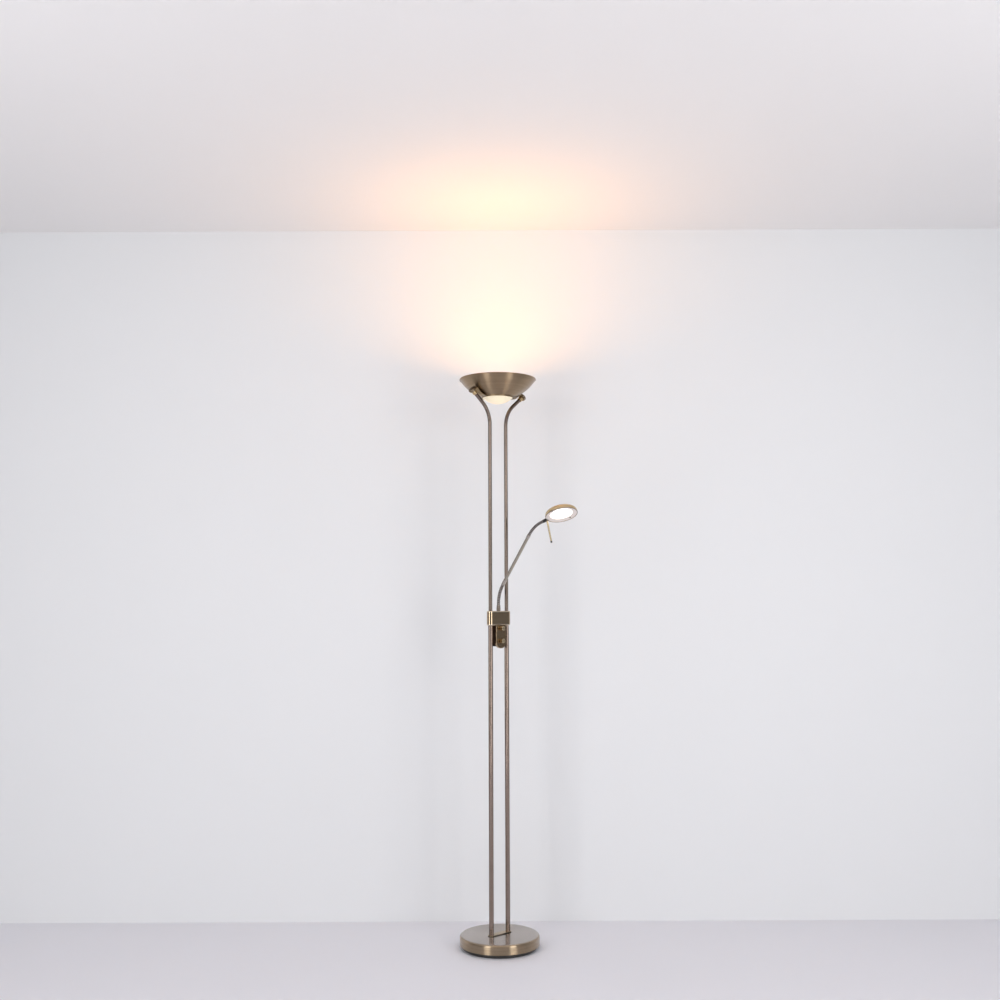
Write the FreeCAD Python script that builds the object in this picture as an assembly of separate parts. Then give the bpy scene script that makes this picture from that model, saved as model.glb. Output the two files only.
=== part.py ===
import FreeCAD, Part
import math
import os

# Torchiere floor lamp with a reading arm. Millimetres, +Z up.
# Origin: centre of the felt pad's underside, on the floor.
# The two poles stand at x = +/-POLE_X, y = 0. The dimmers and the reading arm face -Y,
# and the arm lies in the plane x = 0 at rest.

V = FreeCAD.Vector
os.makedirs("parts", exist_ok=True)

# ---------------------------------------------------------------- driving dimensions
HEIGHT = 1800.0            # floor to the top of the bowl's rim

BASE_R = 125.0             # metal cover
BASE_TOP = 41.5
BASE_EDGE = 12.0           # lower edge of the cover
BASE_FILLET = 8.0
BASE_WALL = 1.6
PAN_R = 116.0
PAD_R = 113.0
PAD_T = 2.0
WEIGHT_R = 112.6
WEIGHT_T = 18.0

POLE_X = 34.5              # half the spacing of the poles
LOWER_R = 7.5              # 15 mm tube
UPPER_R = 6.0              # 12 mm tube
TUBE_WALL = 1.0
FOOT_Z = 44.5              # where the poles start
STEP_Z = 1024.0            # where the tube diameter changes, inside the clamp

BEND_Z = 1648.5            # start of the bend of the upper tubes
BEND_R = 91.0
BEND_DEG = 50.0            # turn outwards from the vertical
END_L = 41.0               # straight tube after the bend

BOWL_R = 147.0             # sphere that the bowl is a zone of
BOWL_CZ = 1878.0
BOWL_T = 1.5
BOWL_OPEN_R = 50.0
BOWL_Z0 = 1741.5
BOWL_RIM_R = 124.9
BEAD_R = 1.6

RING_R = 52.3              # carrier ring
GLASS_BOTTOM = 1718.8

CLAMP_Z0, CLAMP_Z1 = 1001.0, 1047.5
CLAMP_R = 11.8

TONGUE_W = 41.0
TONGUE_Z0 = 928.5
TONGUE_FRONT = -13.0
TONGUE_T = 7.0
TONGUE_CORNER = 19.0
KNOB_R = 7.25
KNOB_Z = (992.0, 952.0)
KNOB_FRONT = -24.8

ARM_TOP = 1065.2           # where the lower gooseneck leaves its ferrule
NECK_A_START = 1069.0      # where it starts to bend
NECK_A_R = 5.2             # lower gooseneck
NECK_A_BEND = 100.0
NECK_A_DEG = 38.8
TUBE_LEN = 196.2           # rigid part of the arm, with its ferrules
ARM_TUBE_R = 5.0
NECK_B_R = 4.7             # upper gooseneck
NECK_B_BEND = 108.0
NECK_B_DEG = 35.5
N_HINGES = 4               # hinges in each gooseneck

HEAD_C = (19.6, 269.4, 1340.6)   # centre of the head's face: sideways, distance in front, height
HEAD_TILT = 21.7
HEAD_ROLL = -7.2           # the face also leans sideways, because the head hangs off its elbow
HEAD_R = 50.0
HEAD_H = 23.4
LENS_R = 35.0
ELBOW_END = 39.1           # measured from the neck's last hinge
HANDLE_AT = 34.45
HANDLE_DEG = -74.8
HANDLE_R = 2.75
HANDLE_L = 75.3

PARTS = {}


# ---------------------------------------------------------------- helpers
def cyl(r, z0, z1, x=0.0, y=0.0):
    return Part.makeCylinder(r, z1 - z0, V(x, y, z0), V(0, 0, 1))


def tube(ro, ri, z0, z1, x=0.0, y=0.0):
    return cyl(ro, z0, z1, x, y).cut(cyl(ri, z0 - 1, z1 + 1, x, y))


def box(x0, x1, y0, y1, z0, z1):
    return Part.makeBox(x1 - x0, y1 - y0, z1 - z0, V(x0, y0, z0))


def stadium(r, half, z0, z1):
    s = box(-half, half, -r, r, z0, z1)
    return s.fuse([cyl(r, z0, z1, -half), cyl(r, z0, z1, half)]).removeSplitter()


def spin(edges):
    """Solid of revolution about Z of a closed profile in the XZ plane."""
    face = Part.Face(Part.Wire(Part.__sortEdges__(edges)))
    return face.revolve(V(0, 0, 0), V(0, 0, 1), 360)


def spin_poly(pts):
    p = [V(a, 0, b) for a, b in pts]
    return spin([Part.LineSegment(p[i], p[(i + 1) % len(p)]).toShape() for i in range(len(p))])


def line(a, b):
    return Part.LineSegment(V(a[0], 0, a[1]), V(b[0], 0, b[1])).toShape()


def arc(a, m, b):
    return Part.Arc(V(a[0], 0, a[1]), V(m[0], 0, m[1]), V(b[0], 0, b[1])).toShape()


def on(shape, origin, direction, xdir=None):
    """Move a shape modelled along +Z from the origin onto an axis."""
    z = V(direction)
    z.normalize()
    x = V(xdir) if xdir else V(1, 0, 0)
    if abs(z.dot(x)) > 0.99:
        x = V(0, 1, 0)
    x = x - z * x.dot(z)
    x.normalize()
    y = z.cross(x)
    m = FreeCAD.Matrix(x.x, y.x, z.x, origin.x, x.y, y.y, z.y, origin.y,
                       x.z, y.z, z.z, origin.z, 0, 0, 0, 1)
    s = shape.copy()
    s.Placement = FreeCAD.Placement(m).multiply(s.Placement)
    return s


def along_y(r, y0, y1, x, z):
    return Part.makeCylinder(r, y1 - y0, V(x, y0, z), V(0, 1, 0))


def mirror_x(shape):
    return shape.mirror(V(0, 0, 0), V(1, 0, 0))


def hexagon(af, z0, z1, x=0.0, y=0.0):
    rc = af / math.sqrt(3)
    p = [V(x + rc * math.cos(math.radians(60 * i)), y + rc * math.sin(math.radians(60 * i)), z0)
         for i in range(6)]
    w = Part.makePolygon(p + [p[0]])
    return Part.Face(w).extrude(V(0, 0, z1 - z0))


def keep(name, *solids):
    if len(solids) == 1:
        s = solids[0]
        if s.ShapeType == "Compound" and len(s.Solids) == 1:
            s = s.Solids[0]
    else:
        flat = []
        for q in solids:
            flat += q.Solids
        s = Part.makeCompound(flat)
    PARTS[name] = s


def arm_pt(r, z):
    """Point in the arm's plane, r in front of the poles."""
    return V(0, -r, z)


def arm_dir(deg):
    """Direction in the arm's plane, deg above the horizontal, away from the poles."""
    a = math.radians(deg)
    return V(0, -math.cos(a), math.sin(a))


# ---------------------------------------------------------------- base
def base():
    R, T, E, F, W = BASE_R, BASE_TOP, BASE_EDGE, BASE_FILLET, BASE_WALL
    k = math.sqrt(0.5)
    cx, cz = R - F, T - F
    fi = F - W
    cover = spin([
        line((0, T), (cx, T)),
        arc((cx, T), (cx + F * k, cz + F * k), (R, cz)),
        line((R, cz), (R, E)),
        line((R, E), (R - W, E)),
        line((R - W, E), (R - W, cz)),
        arc((R - W, cz), (cx + fi * k, cz + fi * k), (cx, T - W)),
        line((cx, T - W), (0, T - W)),
        line((0, T - W), (0, T)),
    ])
    cover = cover.cut([cyl(5.2, T - 5, T + 5, -POLE_X), cyl(5.2, T - 5, T + 5, POLE_X),
                       along_y(4.6, 110, 130, 0, 22)])
    keep("base_cover", cover)

    # moulded pan: floor, wall, and a flange that closes the gap inside the cover's edge
    keep("base_pan", spin_poly([(0, PAD_T), (PAN_R, PAD_T), (PAN_R, 12.3), (123.1, 12.3), (123.1, 13.8),
                                (113.2, 13.8), (113.2, 5), (0, 5)]))
    keep("felt_pad", cyl(PAD_R, 0, PAD_T))

    w = cyl(WEIGHT_R, 5, 5 + WEIGHT_T)
    w = w.fuse([cyl(15, 5, T - W, -POLE_X), cyl(15, 5, T - W, POLE_X)])
    cuts = []
    for x in (-POLE_X, POLE_X):
        cuts += [cyl(11, 0, 15, x), cyl(5.15, 0, 60, x)]
    cuts += [box(-POLE_X, POLE_X, -4, 4, 0, 10), box(-4, 4, 0, 120, 0, 10)]
    keep("base_weight", w.cut(cuts).removeSplitter())

    hole = along_y(3.5, 110, 135, 0, 22)
    g = along_y(6.4, 125.05, 127.0, 0, 22).fuse([along_y(4.5, 121.6, 127.0, 0, 22),
                                                 along_y(5.9, 121.6, 123.15, 0, 22)])
    keep("cable_grommet", g.cut(hole).removeSplitter())

    holes = [cyl(5.2, 0, 60, -POLE_X), cyl(5.2, 0, 60, POLE_X)]
    keep("foot_gasket", stadium(11.0, POLE_X, T, T + 1.5).cut(holes))
    plate = stadium(10.6, POLE_X, T + 1.5, FOOT_Z).cut(holes)
    keep("foot_plate", plate)

    spig, nuts = [], []
    for x in (-POLE_X, POLE_X):
        s = cyl(6.47, FOOT_Z, 68, x).fuse(cyl(5.0, 7, FOOT_Z, x)).cut(cyl(3.2, 0, 80, x))
        spig.append(s.removeSplitter())
        nut = hexagon(14.0, 8.0, 13.5, x).fuse(cyl(9.8, 13.5, 15, x))      # flanged lock nut
        nuts.append(nut.cut(cyl(5.03, 0, 30, x)).removeSplitter())
    keep("foot_spigots", *spig)
    keep("foot_nuts", *nuts)

    drv = box(-50, 50, 32, 74, 24, 38.5)
    drv = drv.makeFillet(2.0, [e for e in drv.Edges if abs(e.tangentAt(e.FirstParameter).z) > 0.9])
    drv = drv.fuse([box(-58, -50, 46, 60, 24, 27), box(50, 58, 46, 60, 24, 27)]).removeSplitter()
    keep("led_driver", drv)


# ---------------------------------------------------------------- poles
def bend_end():
    a = math.radians(BEND_DEG)
    x = POLE_X + BEND_R * (1 - math.cos(a))
    z = BEND_Z + BEND_R * math.sin(a)
    return V(x, 0, z), V(math.sin(a), 0, math.cos(a))


def ring_face(ro, ri, c, n):
    big = Part.Face(Part.Wire(Part.makeCircle(ro, c, n)))
    small = Part.Face(Part.Wire(Part.makeCircle(ri, c, n)))
    return big.cut(small).Faces[0]


def poles():
    e, d = bend_end()
    ro, ri = UPPER_R, UPPER_R - TUBE_WALL
    z0 = STEP_Z + 2.5
    a = tube(ro, ri, z0, BEND_Z, POLE_X)
    f = ring_face(ro, ri, V(POLE_X, 0, BEND_Z), V(0, 0, 1))
    b = f.revolve(V(POLE_X + BEND_R, 0, BEND_Z), V(0, 1, 0), BEND_DEG)
    c = on(tube(ro, ri, 0, END_L), e, d)
    up = a.fuse([b, c]).removeSplitter()
    keep("pole_upper_right", up)
    keep("pole_upper_left", mirror_x(up))

    low = tube(LOWER_R, LOWER_R - TUBE_WALL, FOOT_Z, STEP_Z, POLE_X)
    keep("pole_lower_right", low)
    keep("pole_lower_left", mirror_x(low))

    c = cyl(6.47, 1004, STEP_Z, POLE_X).fuse([cyl(7.4, STEP_Z, z0, POLE_X), cyl(4.97, z0, 1046, POLE_X)])
    c = c.cut(cyl(3.2, 1000, 1050, POLE_X)).removeSplitter()
    keep("pole_couplers", c, mirror_x(c))

    # turned collar on the tube's end, stud through it, and the disc nut outside the ear
    collar = spin_poly([(6.03, 37), (7.2, 37), (8.0, 37.8), (8.0, 49), (4.15, 49), (4.15, END_L), (6.03, END_L)])
    stud = spin_poly([(0, 20), (4.97, 20), (4.97, END_L), (4.0, END_L), (4.0, 55.6), (0, 55.6)])
    nut = spin_poly([(4.04, 51), (11.4, 51), (12.0, 51.6), (12.0, 55.3), (12.9, 55.5), (12.9, 57.2),
                     (12.3, 57.8), (0, 58.2), (0, 56.2), (4.04, 56.2)])
    for name, s in (("end_collars", collar), ("end_studs", stud), ("disc_nuts", nut)):
        p = on(s, e, d, V(0, 1, 0))
        keep(name, p, mirror_x(p))


# ---------------------------------------------------------------- bowl and what it stands on
def strip(start, heading, segs, t, y0, y1):
    """Sheet strap: centre line of lines and arcs in the XZ plane, thickness t, width y0 to y1."""
    h = math.radians(heading)
    x, z = start
    left, right = [], []
    nl = lambda q: (-math.sin(q), math.cos(q))
    first = last = None
    for s in segs:
        n = nl(h)
        a_l = (x + n[0] * t / 2, z + n[1] * t / 2)
        a_r = (x - n[0] * t / 2, z - n[1] * t / 2)
        if first is None:
            first = (a_l, a_r)
        if s[0] == "line":
            x, z = x + s[1] * math.cos(h), z + s[1] * math.sin(h)
            b_l = (x + n[0] * t / 2, z + n[1] * t / 2)
            b_r = (x - n[0] * t / 2, z - n[1] * t / 2)
            left.append(line(a_l, b_l))
            right.append(line(a_r, b_r))
        else:
            r, turn = s[1], math.radians(s[2])
            sg = 1 if turn > 0 else -1
            cx, cz = x + sg * n[0] * r, z + sg * n[1] * r

            def at(q, rad):
                m = nl(q)
                return (cx - sg * m[0] * rad, cz - sg * m[1] * rad)
            rl, rr = r - sg * t / 2, r + sg * t / 2
            left.append(arc(at(h, rl), at(h + turn / 2, rl), at(h + turn, rl)))
            right.append(arc(at(h, rr), at(h + turn / 2, rr), at(h + turn, rr)))
            h += turn
            x, z = at(h, r)
            b_l, b_r = at(h, rl), at(h, rr)
        last = (b_l, b_r)
    edges = left + [line(*last)] + right + [line(*first)]
    f = Part.Face(Part.Wire(Part.__sortEdges__(edges)))
    f.translate(V(0, y0, 0))
    return f.extrude(V(0, y1 - y0, 0))


def bowl():
    e, d = bend_end()
    t = 2.0
    # ear: leaves the ring level, curves up, folds over and comes down between collar and nut
    rise, rad, fold = 46.0, 40.0, 3.0
    sx, sz, bx = 51.0, BOWL_Z0 - 1.0, 55.0
    q = math.radians(rise)
    x1, z1 = bx + rad * math.sin(q), sz + rad * (1 - math.cos(q))
    kx, kz = e.x + 50 * d.x, e.z + 50 * d.z              # where the pole's axis meets the tab
    tx, tz = -d.z, d.x                                   # up the tab
    # x1 + m cos(q) = kx + a tx ; z1 + m sin(q) = kz + a tz
    det = math.cos(q) * (-tz) + tx * math.sin(q)
    m = ((kx - x1) * (-tz) + tx * (kz - z1)) / det
    a = (math.cos(q) * (kz - z1) - math.sin(q) * (kx - x1)) / det
    turn = -(rise + 90.0 - (90.0 - BEND_DEG))
    back = fold * math.tan(math.radians(abs(turn) / 2))
    ear = strip((sx, sz), 0.0, [("line", bx - sx), ("arc", rad, rise), ("line", m - back),
                                ("arc", fold, turn), ("line", a + 10.0 - back)], t, -8.0, 8.0)
    # round the tab's end and clear the stud
    hole = on(cyl(4.15, 41, 61), e, d)
    print("ear: straight", round(m - back, 2), "tab above the stud", round(a, 2))
    down = on(box(-30, 0, -30, 30, -5, 5).cut(cyl(10.0, -6, 6)), V(kx, 0, kz), d, V(tx, 0, tz))
    ear = ear.cut([hole, down])
    ring = tube(RING_R, 41, BOWL_Z0 - 3.0, BOWL_Z0).cut(cyl(50.9, BOWL_Z0 - 4.0, BOWL_Z0 - 1.5))
    body = ring.fuse([ear, mirror_x(ear)]).removeSplitter()
    studs = [(45.6 * math.cos(math.radians(u)), 45.6 * math.sin(math.radians(u))) for u in (90, 210, 330)]
    body = body.cut([cyl(2.03, 1730, 1745, sx_, sy_) for sx_, sy_ in studs])
    keep("shade_carrier", body)

    ri = BOWL_R - BOWL_T
    zc = BOWL_CZ
    zr = HEIGHT - BEAD_R                                   # bead centre
    rr = BOWL_RIM_R - BEAD_R
    so = lambda r: zc - math.sqrt(BOWL_R ** 2 - r ** 2)
    si = lambda r: zc - math.sqrt(ri ** 2 - r ** 2)
    at_z = lambda R, z: math.sqrt(R ** 2 - (zc - z) ** 2)
    r_bo = at_z(BOWL_R, BOWL_Z0)
    r_bi = at_z(ri, BOWL_Z0 + BOWL_T)
    ztop = zr
    r_to, r_ti = at_z(BOWL_R, ztop), at_z(ri, ztop)
    rm_o, rm_i = 95.0, 94.0
    shell = spin([
        arc((r_bo, BOWL_Z0), (rm_o, so(rm_o)), (r_to, ztop)),
        line((r_to, ztop), (r_ti, ztop)),
        arc((r_ti, ztop), (rm_i, si(rm_i)), (r_bi, BOWL_Z0 + BOWL_T)),
        line((r_bi, BOWL_Z0 + BOWL_T), (42, BOWL_Z0 + BOWL_T)),
        line((42, BOWL_Z0 + BOWL_T), (42, BOWL_Z0)),
        line((42, BOWL_Z0), (r_bo, BOWL_Z0)),
    ])
    bead = Part.makeTorus(rr, BEAD_R, V(0, 0, zr), V(0, 0, 1))
    b = shell.fuse(bead).removeSplitter()
    b = b.cut([cyl(2.03, 1735, 1745, sx_, sy_) for sx_, sy_ in studs])
    keep("bowl", b)

    # glass dome with an outward lip in the carrier's recess, held by a flat ring from below
    zl = BOWL_Z0 - 3.0
    r0, sag = 48.6, zl - GLASS_BOTTOM
    rs = (r0 ** 2 + sag ** 2) / (2 * sag)
    gz = GLASS_BOTTOM + rs
    rin = rs - 3.0
    ri0 = 45.0
    zi0 = gz - math.sqrt(rin ** 2 - ri0 ** 2)
    mid = lambda R, r: (r, gz - math.sqrt(R ** 2 - r ** 2))
    glass = spin([
        arc((0, GLASS_BOTTOM), mid(rs, 28.0), (r0, zl)),
        line((r0, zl), (50.4, zl)),
        line((50.4, zl), (50.4, zl + 1.5)),
        line((50.4, zl + 1.5), (ri0, zl + 1.5)),
        line((ri0, zl + 1.5), (ri0, zi0)),
        arc((ri0, zi0), mid(rin, 26.0), (0, GLASS_BOTTOM + 3.0)),
        line((0, GLASS_BOTTOM + 3.0), (0, GLASS_BOTTOM)),
    ])
    keep("glass_dome", glass)
    keep("glass_ring", spin_poly([(48.9, zl - 0.6), (49.1, zl - 0.8), (RING_R - 0.4, zl - 0.8), (RING_R, zl - 0.4),
                                  (RING_R, zl), (48.9, zl)]))

    st, sc = [], []
    for x, y in studs:
        s = cyl(2.0, 1740.2, 1743, x, y).fuse(hexagon(7.0, 1743, 1748.5, x, y)).cut(cyl(1.52, 1744.5, 1751, x, y))
        st.append(s.removeSplitter())
        k = cyl(1.5, 1744.9, 1750.5, x, y).fuse(cyl(2.9, 1750.5, 1752.5, x, y))
        k = k.cut(box(x - 4, x + 4, y - 0.4, y + 0.4, 1751.7, 1754))
        sc.append(k.removeSplitter())
    keep("plate_standoffs", *st)
    keep("plate_screws", *sc)
    keep("led_plate", cyl(61, 1748.5, 1750.5).cut([cyl(1.6, 1740, 1754, x, y) for x, y in studs] + [cyl(4, 1740, 1754)]))
    up = tube(39, 4.5, 1750.5, 1751.9)
    dn = tube(35, 4.5, 1747.1, 1748.5)
    cu, cd = [], []
    for rr_, n in ((31.0, 16), (19.0, 10)):
        for i in range(n):
            u = math.radians(360.0 * i / n)
            px, py = rr_ * math.cos(u), rr_ * math.sin(u)
            cu.append(box(px - 1.6, px + 1.6, py - 1.6, py + 1.6, 1751.9, 1752.7))
            cd.append(box(px - 1.6, px + 1.6, py - 1.6, py + 1.6, 1746.3, 1747.1))
    keep("led_board_up", up.fuse(cu))
    keep("led_board_down", dn.fuse(cd))
    # opal cover: a short wall and a cap that is part of a sphere centred on the axis
    rw, zw, zt, tw = 58.0, 1758.5, 1766.5, 2.0
    rc = (rw ** 2 + (zt - zw) ** 2) / (2 * (zt - zw))
    on_cap = lambda rad, r: (r, zt - rc + math.sqrt(rad ** 2 - r ** 2))
    keep("opal_diffuser", spin([
        line((rw - tw, 1750.5), (rw, 1750.5)), line((rw, 1750.5), (rw, zw)),
        arc((rw, zw), on_cap(rc, 30.0), (0, zt)), line((0, zt), (0, zt - tw)),
        arc((0, zt - tw), on_cap(rc - tw, 30.0), on_cap(rc - tw, rw - tw)),
        line(on_cap(rc - tw, rw - tw), (rw - tw, 1750.5)),
    ]))


# ---------------------------------------------------------------- clamp and dimmers
def clamp():
    z0, z1 = CLAMP_Z0, CLAMP_Z1
    c = stadium(CLAMP_R, POLE_X, z0, z1)
    rim = [e for e in c.Edges if abs(e.CenterOfMass.z - z0) < 0.01 or abs(e.CenterOfMass.z - z1) < 0.01]
    c = c.makeFillet(3.4, rim)
    cuts = [box(-22, 22, -9.2, 9.2, z0 - 1, 1039), cyl(4.05, 1030, 1050)]
    grubs = []
    for x in (-POLE_X, POLE_X):
        cuts += [cyl(LOWER_R + 0.03, z0 - 1, STEP_Z + 2.5, x), cyl(UPPER_R + 0.03, 1020, z1 + 1, x),
                 along_y(2.03, 5, 15, x, 1012)]
        g = along_y(2.0, 7.52, 11.4, x, 1012)
        hx = on(hexagon(2.0, 0, 2.0), V(x, 9.6, 1012), V(0, 1, 0))
        grubs.append(g.cut(hx))
    keep("clamp_collar", c.cut(cuts).removeSplitter())
    keep("clamp_grub_screws", *grubs)


def tongue(w, z0, z1, r, y0, y1):
    h = w / 2
    s = box(-h, h, y0, y1, z0, z1)
    e = [q for q in s.Edges if abs(q.CenterOfMass.z - z0) < 0.01 and abs(q.CenterOfMass.x) > h - 0.01]
    return s.makeFillet(r, e)


def dimmers():
    f, b = TONGUE_FRONT, TONGUE_FRONT + TONGUE_T
    front = tongue(TONGUE_W, TONGUE_Z0, CLAMP_Z0, TONGUE_CORNER, f, b)
    # soften the front edge
    e = [q for q in front.Edges if abs(q.CenterOfMass.y - f) < 0.01 and q.CenterOfMass.z < CLAMP_Z0 - 0.5]
    front = front.makeFillet(1.2, e)
    inner = tongue(TONGUE_W - 3.6, TONGUE_Z0 + 1.8, CLAMP_Z0 - 1.2, TONGUE_CORNER - 1.8, f + 2.2, b + 1)
    front = front.cut(inner)
    bosses = [along_y(3.0, f + 2.0, b, 0, z).cut(along_y(1.28, f + 2.4, b + 1, 0, z)) for z in (972.0, 940.5)]
    front = front.fuse(bosses + [box(-18, 18, -9.0, -7.2, CLAMP_Z0 - 1.2, 1014)])
    front = front.cut([along_y(3.6, f - 1, f + 2.3, 0, z) for z in KNOB_Z]).removeSplitter()
    keep("dimmer_front", front)

    bk = tongue(39.6, 934.5, 1000.6, 8.0, b, 9.6)
    e = [q for q in bk.Edges if abs(q.CenterOfMass.y - 9.6) < 0.01]
    bk = bk.makeFillet(1.5, e)
    bk = bk.cut(tongue(39.6 - 3.2, 936.1, 999.0, 6.4, b - 1, 8.0))
    bk = bk.cut([along_y(1.5, 0, 12, 0, z) for z in (972.0, 940.5)])
    keep("dimmer_back", bk)
    sc = []
    for z in (972.0, 940.5):
        s = along_y(1.25, f + 3.0, 9.65, 0, z).fuse(along_y(2.5, 9.65, 11.2, 0, z))
        s = s.cut(box(-3, 3, 10.4, 12, z - 0.35, z + 0.35))
        sc.append(s.removeSplitter())
    keep("housing_screws", *sc)
    brd = box(-17, 17, -3.0, -1.6, 944.5, 998.5).cut([along_y(1.6, -5, 0, 0, 972), along_y(1.6, -5, 0, 0, 940.5)])
    keep("dimmer_board", brd)
    pots = []
    for z in KNOB_Z:
        p = box(-7.0, 7.0, -10.6, -3.0, z - 7.0, z + 7.0).fuse(along_y(3.5, -13.0, -10.6, 0, z))
        pots.append(p.cut(along_y(2.05, -14, -3.9, 0, z)).removeSplitter())
    keep("potentiometers", *pots)
    for name, z in zip(("upper", "lower"), KNOB_Z):
        body = spin_poly([(2.02, 0), (KNOB_R - 0.35, 0), (KNOB_R, 0.35), (KNOB_R - 0.25, 10.6), (KNOB_R - 0.95, 11.3),
                          (0, 11.3), (0, 8.6), (2.02, 8.6)])
        body = on(body, V(0, -13.5, z), V(0, -1, 0))
        body = body.cut(box(-8, 8, KNOB_FRONT - 1, KNOB_FRONT + 0.8, z - 0.7, z + 0.7))
        keep("knob_" + name, body)
        keep("pot_shaft_" + name, along_y(2.0, -22.0, -4.2, 0, z))


# ---------------------------------------------------------------- reading arm
BALL_GAP = 0.12
NECK_BORE = 1.5


def ball(rb, r_neck, shoulder):
    b = Part.makeSphere(rb, V(0, 0, 0))
    return b.fuse(cyl(r_neck, 0, shoulder + 0.5))


def socket_cut(rs, z):
    return Part.makeSphere(rs, V(0, 0, z))


def link(spacing, ro, rb, shoulder, lip):
    s = ball(rb, 2.6, shoulder).fuse(cyl(ro, shoulder, spacing + lip))
    s = s.cut([socket_cut(rb + BALL_GAP, spacing), cyl(NECK_BORE, -rb - 1, spacing + lip + 1)])
    return s.removeSplitter()


def chain(start, deg0, turn, bend):
    """Pivots and headings of a neck that turns by `turn` degrees (towards the horizontal)."""
    step = turn / N_HINGES
    half = bend * math.tan(math.radians(step / 2))
    piv, heads = [], [deg0]
    p = start + arm_dir(deg0) * half
    for i in range(N_HINGES):
        piv.append(p)
        heads.append(heads[-1] - step)
        p = p + arm_dir(heads[-1]) * (2 * half)
    end = piv[-1] + arm_dir(heads[-1]) * half
    return piv, heads, 2 * half, end


def arm():
    lip_a, sh_a, rb_a = 1.2, 3.9, 4.15
    lip_b, sh_b, rb_b = 1.1, 4.0, 3.7
    start = arm_pt(0, NECK_A_START)
    piv, heads, sp, end = chain(start, 90.0, NECK_A_DEG, NECK_A_BEND)
    top = piv[0].z + lip_a
    f = spin_poly([(0, 1034.6), (4.0, 1034.6), (4.0, CLAMP_Z1 + 0.3), (6.4, CLAMP_Z1 + 0.3), (6.4, 1058), (5.9, 1058.8),
                   (5.9, 1064.6), (NECK_A_R, ARM_TOP), (NECK_A_R, top), (0, top)])
    f = f.cut([socket_cut(rb_a + BALL_GAP, piv[0].z), cyl(NECK_BORE, 1030, top + 1)])
    keep("arm_base_ferrule", f)
    keep("arm_base_nut", hexagon(12.0, 1034.6, 1038.6).cut(cyl(4.03, 1030, 1040)))
    for i in range(1, N_HINGES):
        keep("gooseneck_a%d" % i, on(link(sp, NECK_A_R, rb_a, sh_a, lip_a), piv[i - 1], arm_dir(heads[i])))
    # ferrule at the upper end of the lower neck, tube, ferrule at the lower end of the upper neck
    half = sp / 2
    lo = ball(rb_a, 2.6, sh_a).fuse([cyl(NECK_A_R, sh_a, half), cyl(6.0, half, half + 20)])
    lo = lo.cut([cyl(NECK_BORE, -6, 30), cyl(ARM_TUBE_R + 0.03, half + 12, half + 30)]).removeSplitter()
    d0 = arm_dir(heads[-1])
    keep("arm_ferrule_lower", on(lo, piv[-1], d0))
    L = half + TUBE_LEN
    keep("arm_tube", on(tube(ARM_TUBE_R, ARM_TUBE_R - 0.8, half + 12, L - 4), piv[-1], d0))
    b_start = end + d0 * TUBE_LEN
    pb, hb, sb, end_b = chain(b_start, heads[-1], NECK_B_DEG, NECK_B_BEND)
    hb2 = sb / 2
    hi = cyl(5.8, L - 12, L).fuse(cyl(NECK_B_R, L, L + hb2 + lip_b))
    hi = hi.cut([cyl(ARM_TUBE_R + 0.03, L - 13, L - 4), cyl(NECK_BORE, L - 14, L + 20),
                 socket_cut(rb_b + BALL_GAP, L + hb2)]).removeSplitter()
    keep("arm_ferrule_upper", on(hi, piv[-1], d0))
    for i in range(1, N_HINGES):
        keep("gooseneck_b%d" % i, on(link(sb, NECK_B_R, rb_b, sh_b, lip_b), pb[i - 1], arm_dir(hb[i])))
    tail = ball(rb_b, 2.5, sh_b).fuse([cyl(NECK_B_R, sh_b, hb2 + 8.0), cyl(5.2, hb2 + 8.0, hb2 + 10.0),
                                       cyl(2.5, hb2 + 10.0, hb2 + 20.0)])
    tail = tail.cut(cyl(1.2, -6, 30)).removeSplitter()
    keep("gooseneck_b_end", on(tail, pb[-1], arm_dir(hb[-1])))
    print("hinges a:", [(round(-p.y, 3), round(p.z, 3)) for p in piv], "end", round(-end.y, 2), round(end.z, 2))
    print("hinges b:", [(round(-p.y, 3), round(p.z, 3)) for p in pb], "end", round(-end_b.y, 2), round(end_b.z, 2))
    return pb[-1], arm_dir(hb[-1]), hb2


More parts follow.
